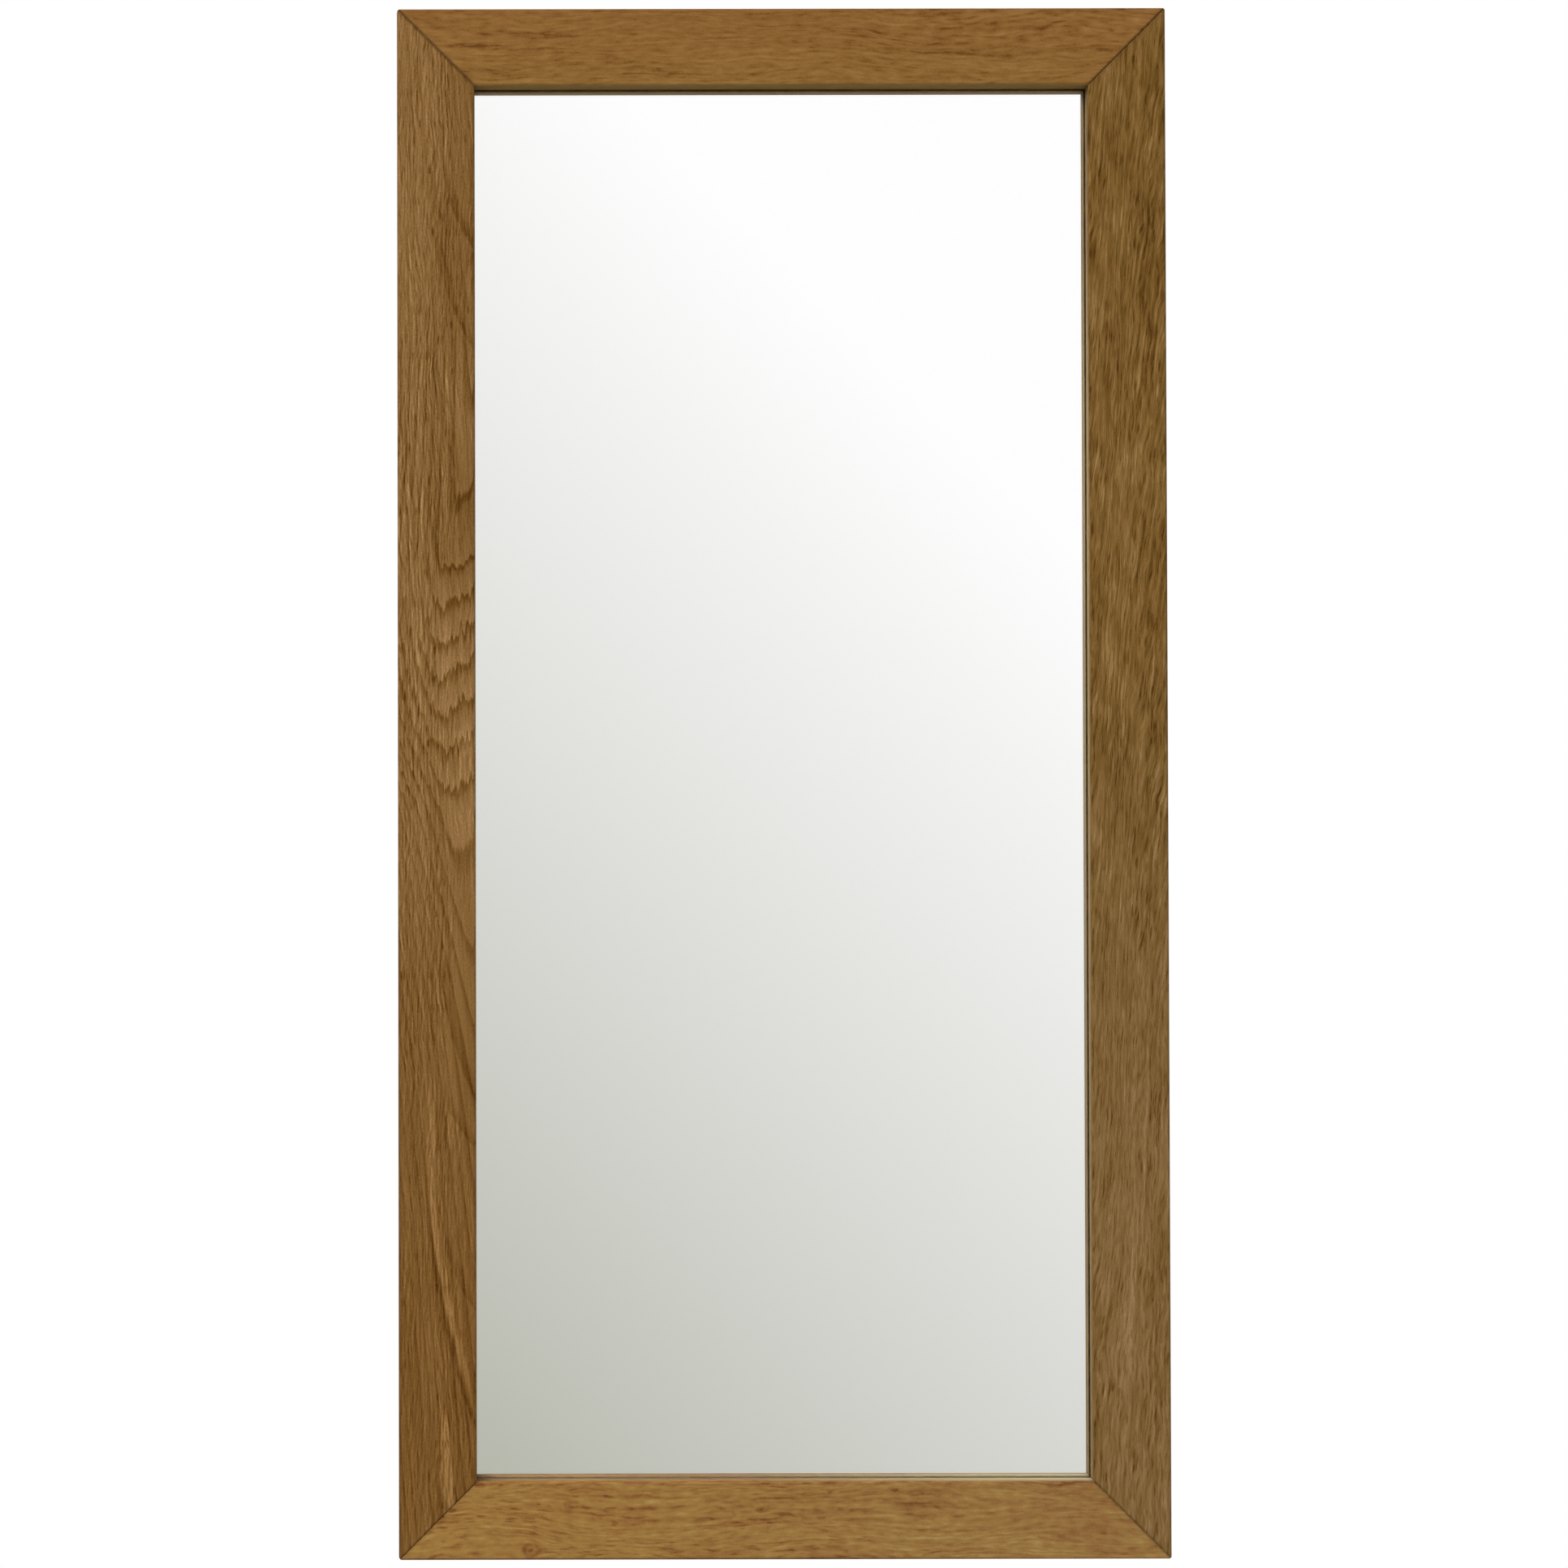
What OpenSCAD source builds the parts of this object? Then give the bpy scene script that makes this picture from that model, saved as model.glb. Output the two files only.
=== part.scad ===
// A framed wall mirror: four mitred oak members with a rebate behind their lip, mirror glass,
// a backing board held by glazing points, two D-ring hangers and four wall pads.
// Millimetres. The front looks along -Y, the wall is the plane y = 0, and the origin is on
// that plane behind the middle of the frame.

/* [Frame] */
// Width of the frame, outside to outside
frame_w = 596; // [420:1:900]
// Height of the frame, outside to outside
frame_h = 1200; // [800:1:1800]
// Width of the face of each member
member_w = 60; // [58:1:90]
// Thickness of the wood
member_t = 22; // [20:0.5:30]
// Depth of the lip in front of the glass
lip_depth = 10; // [8:0.5:12]
// Width of the rebate behind the lip
rebate_w = 10; // [8:0.5:12]
// Radius of the eased front arrises
front_arris_r = 2.2; // [1:0.1:4]
// Radius of the outer corners, seen from the front
corner_r = 3.2; // [1:0.1:5]
// Radius of the eased back arrises
back_arris_r = 1; // [0.4:0.1:2]
// Depth of the small V groove where two mitred members meet
mitre_groove = 1.1; // [0.3:0.1:1.5]

/* [Glass and back] */
// Thickness of the glass
glass_t = 4; // [3:0.5:5]
// Thickness of the silver coating with its backing paint
silver_t = 0.1; // [0.1:0.05:0.3]
// Thickness of the backing board
board_t = 3; // [2:0.5:4]
// Gap between the rebate wall and the edge of the glass
glass_gap = 1.5; // [1:0.1:3]
// Length of each rubber setting block under the glass
block_len = 30; // [15:1:60]
// Distance of each setting block's middle from the middle of the frame
block_x = 125; // [60:1:160]

/* [Biscuits] */
// Length of a biscuit along the mitre
biscuit_len = 56; // [40:1:60]
// Width of a biscuit across the mitre
biscuit_w = 23; // [16:0.5:24]
// Thickness of a biscuit
biscuit_t = 4; // [3:0.5:5]
// Radius of the cutter that makes the biscuit slots
cutter_r = 50; // [45:1:52]
// Free depth past each edge of a biscuit
slot_spare = 0.6; // [0.3:0.1:1]

/* [Glazing points] */
// Width of a glazing point
point_w = 6; // [4:0.5:10]
// Thickness of a glazing point
point_t = 0.5; // [0.4:0.1:1]
// How far a point is driven into the wood
point_bite = 6; // [4:0.5:8]
// How far a point reaches in over the board from the rebate wall
point_reach = 9; // [6:0.5:14]
// Length of the pointed tip
point_tip = 2.5; // [1:0.5:4]
// Distance aimed at between one point and the next
point_pitch = 155; // [100:5:250]

/* [Hangers] */
// Distance of the D rings' axis below the top of the frame
hanger_drop = 200; // [100:5:300]
// Width of a hanger strap
strap_w = 16; // [12:0.5:20]
// Length of a strap below the ring's axis
strap_len = 46; // [40:1:70]
// Thickness of the steel sheet that the strap is folded from
sheet_t = 1; // [0.8:0.1:1.2]
// Length of the bend that brings the fold back onto the strap
fold_drop = 5; // [4.5:0.5:8]
// Radius of the ring's wire
wire_r = 1.5; // [1.2:0.1:1.8]
// Radius of the round end of the ring, at the middle of the wire
ring_r = 12; // [11:0.5:16]
// Radius of the two bends beside the strap, at the middle of the wire
ring_bend_r = 3; // [2:0.25:3.5]
// Straight length of each leg of the ring
ring_leg = 0.5; // [0.2:0.1:1.5]
// Radial clearance of the ring's wire in the loop
loop_clear = 0.08; // [0.04:0.01:0.1]
// Gap between a hanging ring and the strap that it lies on
ring_gap = 0.3; // [0.2:0.05:0.5]

/* [Hanger screws] */
// Radius of a screw's shank
screw_r = 2; // [1.5:0.1:2.2]
// Length of a screw under its head
screw_len = 16; // [12:1:18]
// Radius of a screw's head
head_r = 3.8; // [3:0.1:4.5]
// Height of a screw's head
head_h = 2.4; // [1.8:0.1:3]
// Distance of the first screw below the ring's axis
first_screw = 23; // [22:0.5:26]
// Distance from the first screw to the second
screw_pitch = 15; // [10:0.5:18]

/* [Wall pads] */
// Radius of a wall pad
pad_r = 9; // [6:0.5:10]
// Thickness of a wall pad, which is the gap between the frame and the wall
pad_t = 6; // [5.5:0.1:10]
// Distance of a pad's middle from the top or bottom of the frame
pad_inset = 40; // [38:1:120]
// Radius of the pad's eased rim
pad_rim_r = 0.8; // [0.3:0.1:1.5]

/* [Hidden] */

$fn = 64;
// How far a cutter runs past the face that it cuts
over = 1;

// Planes along Y, from the back of the frame to its front
back_y = -pad_t;
front_y = back_y - member_t;
glass_y = front_y + lip_depth;
silver_y = glass_y + glass_t;
board_y = silver_y + silver_t;
point_y = board_y + board_t;

// The glass, the silver and the board share one outline, a gap inside the rebate walls
glass_w = frame_w - 2 * (member_w - rebate_w + glass_gap);
glass_h = frame_h - 2 * (member_w - rebate_w + glass_gap);

// Middle of the solid part of a member, outside the rebate, measured in from the outer edge
solid_mid = (member_w - rebate_w) / 2;

// Clearances round the things that sit in the wood
slot_clear = 0.05;
pilot_clear = 0.05;
pilot_spare = 1;
strap_hole_clear = 0.25;
slot_depth = biscuit_w / 2 + slot_spare;

// Folded strap: the loop's radii, its axis above the wood, and the angle of the bend
loop_r = wire_r + loop_clear;
loop_out_r = loop_r + sheet_t;
ring_y = loop_out_r;
fold_angle = 2 * atan(loop_r / fold_drop);
strap_t = 2 * sheet_t;

// A hanging ring leans out until its wire clears the strap's edges
ring_drop_at_edge = ring_bend_r + ring_leg + sqrt(ring_r * ring_r - strap_w * strap_w / 4);
ring_lean = asin((strap_t + ring_gap + wire_r - ring_y) / ring_drop_at_edge);

hanger_x = frame_w / 2 - solid_mid;
hanger_z = frame_h / 2 - hanger_drop;
screw_tip = 3;

// Wood colours of the four members, from the light bottom rail to the dark right stile
left_wood = [0.55, 0.42, 0.25];
right_wood = [0.45, 0.33, 0.165];
top_wood = [0.54, 0.376, 0.19];
bottom_wood = [0.59, 0.435, 0.247];
steel = [0.72, 0.73, 0.74];

// What lies outside a quarter circle of radius r in the corner of a square, the corner at 0, 0
module corner_waste(r) {
    difference() {
        translate([-over, -over]) square(r + over);
        translate([r, r]) circle(r);
    }
}

// Section of a member: x runs from the inner edge outwards, y from the front to the back
module member_section() {
    difference() {
        square([member_w, member_t]);
        translate([-over, lip_depth]) square([rebate_w + over, member_t]);
        corner_waste(front_arris_r);
        translate([member_w, 0]) mirror([1, 0]) corner_waste(front_arris_r);
        translate([member_w, member_t]) rotate(180) corner_waste(back_arris_r);
        translate([rebate_w, member_t]) mirror([0, 1]) corner_waste(back_arris_r);
    }
}

// A flat shape drawn in x and z, as thick as given along Y and starting at y = 0
module along_y(thickness) {
    translate([0, thickness, 0]) rotate([90, 0, 0]) linear_extrude(thickness) children();
}

// One mitred member lying along X above the origin, with its outer edge at z = reach
module member(length, reach) {
    half = length / 2;
    difference() {
        translate([0, front_y, reach - member_w])
            rotate([0, -90, 0]) linear_extrude(length, center = true) member_section();
        for (side = [0, 1]) mirror([side, 0, 0]) translate([half, 0, reach]) {
            mitre_waste();
            mitre_vee();
            biscuit_slot();
            outer_corner_waste();
        }
        point_places(length, reach) point(slot_clear);
    }
}

// All that lies past the 45 degree plane through the outer corner, which is at the origin
module mitre_waste() {
    big = 2 * member_w;
    translate([0, front_y - over, 0]) along_y(member_t + 2 * over)
        polygon([[over, over], [over, -big], [-big, -big]]);
}

// The V groove along the front edge of the mitre
module mitre_vee() {
    side = mitre_groove * sqrt(2);
    translate([0, front_y, 0]) rotate([0, -45, 0]) rotate([45, 0, 0])
        cube([4 * member_w, side, side], center = true);
}

// The slot that a round cutter leaves in the face of the mitre, for half a biscuit
module biscuit_slot() {
    out = (cutter_r - slot_depth) / sqrt(2);
    thick = biscuit_t + 2 * slot_clear;
    translate([-solid_mid + out, front_y + (member_t - thick) / 2, -solid_mid - out])
        along_y(thick) circle(cutter_r, $fn = 128);
}

// The eased outer corner of the frame, seen from the front
module outer_corner_waste() {
    translate([0, front_y - over, 0]) along_y(member_t + 2 * over)
        rotate(180) corner_waste(corner_r);
}

// Puts its children at each glazing point of a member, on the rebate wall and level with the board
module point_places(length, reach) {
    opening = length - 2 * member_w;
    count = max(2, round(opening / point_pitch));
    for (i = [0 : count - 1])
        translate([opening * ((i + 0.5) / count - 0.5), point_y, reach - member_w + rebate_w])
            children();
}

// A flat glazing point, its tip up in the wood; clear widens it all round for its slot
module point(clear = 0) {
    half = point_w / 2 + clear;
    tip = point_bite + clear;
    bevel = point_w / 6;
    end = -point_reach;
    translate([0, -clear, 0]) along_y(point_t + 2 * clear)
        polygon([
            [-half, tip - point_tip], [-half, end + bevel], [-half + bevel, end],
            [half - bevel, end], [half, end + bevel], [half, tip - point_tip], [0, tip],
        ]);
}

// Turns a piece drawn for the top rail to the side given: top 0, right 90, bottom 180, left -90
module to_side(turn) {
    rotate([0, turn, 0]) children();
}

module left_stile() {
    color(left_wood) difference() {
        to_side(-90) member(frame_h, frame_w / 2);
        at_hanger(-1) screw_places() pilot_hole();
    }
}

module right_stile() {
    color(right_wood) difference() {
        to_side(90) member(frame_h, frame_w / 2);
        at_hanger(1) screw_places() pilot_hole();
    }
}

module top_rail() {
    color(top_wood) to_side(0) member(frame_w, frame_h / 2);
}

module bottom_rail() {
    color(bottom_wood) to_side(180) member(frame_w, frame_h / 2);
}

// A lens of pressed beech across the mitre of the corner at side x and side z
module biscuit(x, z) {
    in_y = front_y + (member_t - biscuit_t) / 2;
    off = cutter_r - biscuit_w / 2;
    color([0.8, 0.66, 0.45])
        translate([x * (frame_w / 2 - solid_mid), in_y, z * (frame_h / 2 - solid_mid)])
            rotate([0, 45 * x * z, 0]) along_y(biscuit_t) intersection() {
                translate([-off, 0]) circle(cutter_r, $fn = 128);
                translate([off, 0]) circle(cutter_r, $fn = 128);
                square([biscuit_w, biscuit_len], center = true);
            }
}

module mirror_glass() {
    color([0.86, 0.9, 0.88])
        translate([-glass_w / 2, glass_y, -glass_h / 2]) cube([glass_w, glass_t, glass_h]);
}

module silver_coating() {
    color([0.45, 0.47, 0.48])
        translate([-glass_w / 2, silver_y, -glass_h / 2]) cube([glass_w, silver_t, glass_h]);
}

module backing_board() {
    color([0.42, 0.29, 0.18])
        translate([-glass_w / 2, board_y, -glass_h / 2]) cube([glass_w, board_t, glass_h]);
}

// Two rubber blocks that carry the lower edges of the glass and the board in the bottom rebate
module setting_blocks() {
    stack = glass_t + silver_t + board_t;
    color([0.15, 0.15, 0.15])
        for (side = [-1, 1])
            translate([side * block_x - block_len / 2, glass_y, -glass_h / 2 - glass_gap])
                cube([block_len, stack, glass_gap]);
}

// The glazing points of one member
module points(turn, length, reach) {
    color(steel) to_side(turn) point_places(length, reach) point();
}

// Local frame of a hanger: its origin on the back of the stile behind the ring's axis
module at_hanger(side) {
    translate([side * hanger_x, back_y, hanger_z]) children();
}

module screw_places() {
    for (drop = [first_screw, first_screw + screw_pitch]) translate([0, 0, -drop]) children();
}

// Hole in the wood for the part of the screw below the strap, and a little more
module pilot_hole() {
    deep = screw_len - strap_t + pilot_spare;
    rotate([-90, 0, 0]) translate([0, 0, -deep])
        cylinder(h = deep + over, r = screw_r + pilot_clear);
}

// Edge of the folded sheet, x away from the wood and y up: flat on the wood, up round the wire,
// and down again at the fold angle onto its own back
module fold_section() {
    away = [cos(fold_angle), -sin(fold_angle)];
    axis = [ring_y, 0];
    far = 2 * loop_out_r;
    meet = [sheet_t, -fold_drop];
    outer_meet = [strap_t, -fold_drop - sheet_t * tan(fold_angle / 2)];
    translate([0, -strap_len]) square([sheet_t, strap_len]);
    difference() {
        translate(axis) circle(loop_out_r);
        translate(axis) circle(loop_r);
        translate(axis) polygon([[0, 0], far * [-1, 0], far * [-1, -1], far * [1, -1], far * away]);
    }
    polygon([
        [sheet_t, -strap_len], [strap_t, -strap_len], outer_meet,
        axis + loop_out_r * away, axis + loop_r * away, meet,
    ]);
}

// Strap seen from the back: straight sides and a round lower end
module strap_outline() {
    round_r = strap_w / 2;
    translate([0, round_r - strap_len]) circle(round_r);
    translate([-round_r, round_r - strap_len]) square([strap_w, strap_len - round_r + 2 * loop_out_r]);
}

module hanger_strap(side) {
    color(steel) at_hanger(side) difference() {
        intersection() {
            rotate([90, 0, 90]) linear_extrude(strap_w, center = true) fold_section();
            translate([0, -over, 0]) along_y(2 * loop_out_r + 2 * over) strap_outline();
        }
        screw_places() rotate([-90, 0, 0])
            translate([0, 0, -over]) cylinder(h = strap_t + 2 * over, r = screw_r + strap_hole_clear);
    }
}

// Part of a ring of wire of radius r in the x and z plane, from one angle over a sweep
module wire_bend(r, from, sweep) {
    rotate([90, 0, 0]) rotate([0, 0, from]) rotate_extrude(angle = sweep, $fn = 96)
        translate([r, 0]) circle(wire_r, $fn = 32);
}

// D ring hanging from its straight bar, which lies along X through the origin
module d_ring_shape() {
    bar = 2 * (ring_r - ring_bend_r);
    rotate([0, 90, 0]) cylinder(h = bar, r = wire_r, center = true, $fn = 32);
    for (side = [0, 1]) mirror([side, 0, 0]) {
        translate([bar / 2, 0, -ring_bend_r]) wire_bend(ring_bend_r, 0, 90);
        translate([ring_r, 0, -ring_bend_r - ring_leg]) cylinder(h = ring_leg, r = wire_r, $fn = 32);
    }
    translate([0, 0, -ring_bend_r - ring_leg]) wire_bend(ring_r, 180, 180);
}

module d_ring(side) {
    color(steel) at_hanger(side) translate([0, ring_y, 0]) rotate([ring_lean, 0, 0]) d_ring_shape();
}

// Pan-head screw with its tip at the bottom, the seat of its head at z = 0
module screw() {
    crown = head_h / 3;
    rotate_extrude() polygon(concat(
        [[0, -screw_len], [screw_r, screw_tip - screw_len], [screw_r, 0], [head_r, 0]],
        [for (a = [0 : 15 : 90]) [
            head_r - crown + crown * cos(a), head_h - crown + crown * sin(a)]],
        [[0, head_h]]
    ));
}

module hanger_screws(side) {
    color(steel) at_hanger(side) screw_places()
        translate([0, strap_t, 0]) rotate([-90, 0, 0]) screw();
}

// Rubber disc on the back of a stile, with its far rim eased
module wall_pad(x, z) {
    color([0.2, 0.2, 0.2])
        translate([x * (frame_w / 2 - solid_mid), back_y, z * (frame_h / 2 - pad_inset)])
            rotate([-90, 0, 0]) rotate_extrude() difference() {
                square([pad_r, pad_t]);
                translate([pad_r, pad_t]) rotate(180) corner_waste(pad_rim_r);
            }
}

left_stile();
right_stile();
top_rail();
bottom_rail();
biscuit(-1, 1);  // biscuit_top_left
biscuit(1, 1);  // biscuit_top_right
biscuit(-1, -1);  // biscuit_bottom_left
biscuit(1, -1);  // biscuit_bottom_right
mirror_glass();
silver_coating();
backing_board();
setting_blocks();
points(-90, frame_h, frame_w / 2);  // points_left_stile
points(90, frame_h, frame_w / 2);  // points_right_stile
points(0, frame_w, frame_h / 2);  // points_top_rail
points(180, frame_w, frame_h / 2);  // points_bottom_rail
hanger_strap(-1);  // left_hanger_strap
hanger_strap(1);  // right_hanger_strap
d_ring(-1);  // left_d_ring
d_ring(1);  // right_d_ring
hanger_screws(-1);  // left_hanger_screws
hanger_screws(1);  // right_hanger_screws
wall_pad(-1, 1);  // wall_pad_top_left
wall_pad(1, 1);  // wall_pad_top_right
wall_pad(-1, -1);  // wall_pad_bottom_left
wall_pad(1, -1);  // wall_pad_bottom_right
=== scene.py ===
"""The looks of a tall wall mirror in a mitred oak frame: camera, light, wood, glass, silver and hangers.

Lengths are metres in the meshes and millimetres in the finishes. The front of the mirror faces -Y, Z is up,
and the wall is the plane y = 0.
"""

import math

import bmesh
import bpy
import numpy as np
from mathutils import Matrix, Vector


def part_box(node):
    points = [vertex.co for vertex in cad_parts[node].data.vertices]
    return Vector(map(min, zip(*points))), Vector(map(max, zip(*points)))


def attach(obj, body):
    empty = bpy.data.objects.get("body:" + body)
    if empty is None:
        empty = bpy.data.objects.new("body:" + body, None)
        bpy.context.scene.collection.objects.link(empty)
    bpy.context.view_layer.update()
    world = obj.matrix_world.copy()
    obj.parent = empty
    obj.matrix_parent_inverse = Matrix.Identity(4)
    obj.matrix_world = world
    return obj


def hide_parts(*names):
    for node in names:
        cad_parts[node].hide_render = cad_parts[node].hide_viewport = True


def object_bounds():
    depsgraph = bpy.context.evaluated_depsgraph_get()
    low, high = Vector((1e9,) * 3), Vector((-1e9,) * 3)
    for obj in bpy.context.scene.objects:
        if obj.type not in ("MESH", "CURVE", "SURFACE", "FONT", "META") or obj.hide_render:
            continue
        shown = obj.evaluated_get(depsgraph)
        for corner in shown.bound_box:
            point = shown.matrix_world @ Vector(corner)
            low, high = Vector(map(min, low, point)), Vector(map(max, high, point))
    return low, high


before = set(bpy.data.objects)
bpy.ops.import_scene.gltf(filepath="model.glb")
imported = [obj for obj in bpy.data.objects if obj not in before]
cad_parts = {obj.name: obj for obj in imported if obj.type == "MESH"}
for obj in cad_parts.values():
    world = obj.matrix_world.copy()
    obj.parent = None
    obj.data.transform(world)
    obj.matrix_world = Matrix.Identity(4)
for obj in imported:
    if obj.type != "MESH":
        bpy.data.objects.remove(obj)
cad_low, cad_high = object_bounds()

MM = 0.001


# Camera

# Where the eye is: left of the middle, a little below it, 1.686 m in front of the face of the frame
EYE = Vector((-0.220, -1.714, -0.040))
TILT_UP = math.radians(0.502)
ROLL = math.radians(-0.103)
SENSOR_MM = 36.0
LENS_MM = 50.09
# The object stands right of the axis of the lens, so the picture is shifted that way
SHIFT_X = 0.1819
SHIFT_Y = 0.0196


def place_camera():
    """Looks along +Y, tilted up and rolled by small angles.

    The columns of the turn are the camera's right, up and backward directions.
    """
    forward = Vector((0, math.cos(TILT_UP), math.sin(TILT_UP)))
    level_right = Vector((1, 0, 0))
    level_up = level_right.cross(forward)
    right = level_right * math.cos(ROLL) + level_up * math.sin(ROLL)
    up = level_up * math.cos(ROLL) - level_right * math.sin(ROLL)
    lens = bpy.data.cameras.new("camera")
    lens.sensor_width = SENSOR_MM
    lens.lens = LENS_MM
    lens.shift_x = SHIFT_X
    lens.shift_y = SHIFT_Y
    camera = bpy.data.objects.new("camera", lens)
    turn = Matrix((right, up, -forward)).transposed()
    camera.matrix_world = Matrix.Translation(EYE) @ turn.to_4x4()
    bpy.context.scene.collection.objects.link(camera)
    bpy.context.scene.camera = camera


place_camera()


# Finishes

def srgb(red, green, blue):
    """A colour given in 0 to 255 as a screen shows it, as linear light with an alpha of 1."""
    shown = np.array((red, green, blue)) / 255
    light = np.where(shown <= 0.04045, shown / 12.92, ((shown + 0.055) / 1.055) ** 2.4)
    return (*light.tolist(), 1.0)


class Field:
    """A number that differs from point to point of a surface, so that a formula can be written as one."""

    def __init__(self, finish, socket):
        self.finish = finish
        self.socket = socket

    def __add__(self, other):
        return self.finish.math("ADD", self, other)

    def __sub__(self, other):
        return self.finish.math("SUBTRACT", self, other)

    def __rsub__(self, other):
        return self.finish.math("SUBTRACT", other, self)

    def __mul__(self, other):
        return self.finish.math("MULTIPLY", self, other)

    def __truediv__(self, other):
        return self.finish.math("DIVIDE", self, other)

    def __abs__(self):
        return self.finish.math("ABSOLUTE", self)

    __radd__ = __add__
    __rmul__ = __mul__


class Nodes:
    """The nodes of a material or of the world."""

    def __init__(self, tree):
        self.nodes = tree.nodes
        self.links = tree.links

    def node(self, kind, inputs, **settings):
        """A new node. Its inputs are given by name or number, as a field, a plain socket or a value."""
        made = self.nodes.new(kind)
        for setting, value in settings.items():
            setattr(made, setting, value)
        for key, value in inputs.items():
            if isinstance(value, Field):
                value = value.socket
            if isinstance(value, bpy.types.NodeSocket):
                self.links.new(value, made.inputs[key])
            else:
                made.inputs[key].default_value = value
        return made

    def mix(self, share, first, second, blend="MIX"):
        """The first colour where share is 0, the second, or their blend, where it is 1."""
        inputs = {0: share, 6: first, 7: second}
        return self.node("ShaderNodeMix", inputs, data_type="RGBA", blend_type=blend).outputs[2]


class Finish(Nodes):
    """A material. x, y and z are the place on the object, in millimetres."""

    def __init__(self, name, **settings):
        self.material = bpy.data.materials.new(name)
        self.material.use_nodes = True
        super().__init__(self.material.node_tree)
        self.shader = self.nodes["Principled BSDF"]
        for setting, value in settings.items():
            self.shader.inputs[setting.replace("_", " ")].default_value = value
        place = self.nodes.new("ShaderNodeTexCoord").outputs["Object"]
        parts = self.nodes.new("ShaderNodeSeparateXYZ")
        self.links.new(place, parts.inputs[0])
        self.x, self.y, self.z = (Field(self, parts.outputs[i]) / MM for i in range(3))

    def math(self, operation, *values):
        made = self.node("ShaderNodeMath", dict(enumerate(values)), operation=operation)
        return Field(self, made.outputs[0])

    def least(self, first, second):
        return self.math("MINIMUM", first, second)

    def most(self, first, second):
        return self.math("MAXIMUM", first, second)

    def root(self, value):
        return self.math("SQRT", value)

    def noise(self, u, v, w, detail=0.0, rough=0.5):
        """Soft noise of mean 0, mostly from -1 to 1, that changes about once for each unit of u, v and w."""
        place = self.node("ShaderNodeCombineXYZ", {0: u, 1: v, 2: w}).outputs[0]
        inputs = {"Vector": place, "Scale": 1.0, "Detail": detail, "Roughness": rough}
        made = self.node("ShaderNodeTexNoise", inputs)
        return (Field(self, made.outputs["Fac"]) - 0.5) * 4

    def even_noise(self, size, detail=0.0, rough=0.5):
        """Noise that changes about once in size millimetres, the same in all directions."""
        return self.noise(self.x / size, self.y / size, self.z / size, detail, rough)

    def cells(self, u, v, w):
        """The distance to the nearest of scattered points, one in each unit cell, and its random number."""
        place = self.node("ShaderNodeCombineXYZ", {0: u, 1: v, 2: w}).outputs[0]
        made = self.node("ShaderNodeTexVoronoi", {"Vector": place, "Scale": 1.0})
        pick = self.node("ShaderNodeSeparateColor", {0: made.outputs["Color"]}).outputs[0]
        return Field(self, made.outputs["Distance"]), Field(self, pick)

    def step(self, value, start, end):
        """0 at start and before, 1 at end and past it, with a soft slope between them."""
        inputs = {"Value": value, "From Min": start, "From Max": end}
        made = self.node("ShaderNodeMapRange", inputs, interpolation_type="SMOOTHSTEP")
        return Field(self, made.outputs[0])

    def bell(self, value, middle, width):
        """1 where value is middle, and falling off like a bell over width."""
        off = (value - middle) / width
        return self.math("EXPONENT", off * off * -1.0)

    def spot(self, u, v, middle, reach):
        """1 at the middle of an ellipse in u and v, and falling off like a bell over its two reaches."""
        off_u = (u - middle[0]) / reach[0]
        off_v = (v - middle[1]) / reach[1]
        return self.math("EXPONENT", (off_u * off_u + off_v * off_v) * -1.0)

    def within(self, half_w, half_h):
        """How far a place lies inside an upright rectangle round the origin, less than 0 outside it."""
        return self.least(half_w - abs(self.x), half_h - abs(self.z))

    def tones(self, value, *stops):
        """A colour for each value from 0 to 1, through stops of (value, colour)."""
        made = self.node("ShaderNodeValToRGB", {0: value})
        ramp = made.color_ramp
        while len(ramp.elements) < len(stops):
            ramp.elements.new(0.5)
        for element, (place, colour) in zip(ramp.elements, stops):
            element.position = place
            element.color = colour
        return made.outputs[0]

    def paint(self, colour):
        self.links.new(colour, self.shader.inputs["Base Color"])

    def roughen(self, value):
        self.links.new(value.socket, self.shader.inputs["Roughness"])

    def relief(self, height):
        """Shades the surface as if it were raised by height, in millimetres."""
        made = self.node("ShaderNodeBump", {"Height": height, "Distance": MM, "Strength": 1.0})
        self.links.new(made.outputs[0], self.shader.inputs["Normal"])


# Oak

# How wide the members are. The opening that they leave is the sight size
MEMBER_W = 60
frame_half_w = cad_high.x / MM
frame_half_h = cad_high.z / MM
sight_half_w = frame_half_w - MEMBER_W
sight_half_h = frame_half_h - MEMBER_W
front_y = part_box("left_stile")[0].y / MM
back_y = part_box("left_stile")[1].y / MM
glass_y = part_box("mirror_glass")[0].y / MM

# Pore brown, dark, middle, light and palest tone of each member
LEFT_TONES = ((84, 50, 8), (109, 74, 28), (127, 91, 46), (146, 109, 63), (172, 134, 86))
RIGHT_TONES = ((76, 48, 8), (102, 72, 27), (120, 89, 43), (137, 105, 60), (158, 128, 84))
TOP_TONES = ((100, 62, 20), (125, 86, 39), (135, 96, 48), (144, 105, 56), (158, 120, 70))
BOTTOM_TONES = ((114, 71, 34), (136, 95, 48), (148, 110, 57), (156, 122, 63), (168, 139, 80))
TONE_STOPS = (0.0, 0.25, 0.5, 0.75, 1.0)
RAW_TONES = ((128, 98, 64), (156, 126, 86), (176, 146, 104), (190, 162, 120), (206, 182, 142))
# Painted light: the pale tone that lifts the shade of the rebate behind the lip
REBATE_LIGHT_TONE = srgb(226, 200, 156)
JOINT_BROWN = srgb(72, 50, 30)

# The tone of an eased front arris starts this far from its edge and is full at ARRIS_FULL
INNER_ARRIS = 2.6
OUTER_ARRIS = 2.8
OUTER_ARRIS_DEPTH = 2.4
ARRIS_FULL = 1.0
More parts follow.
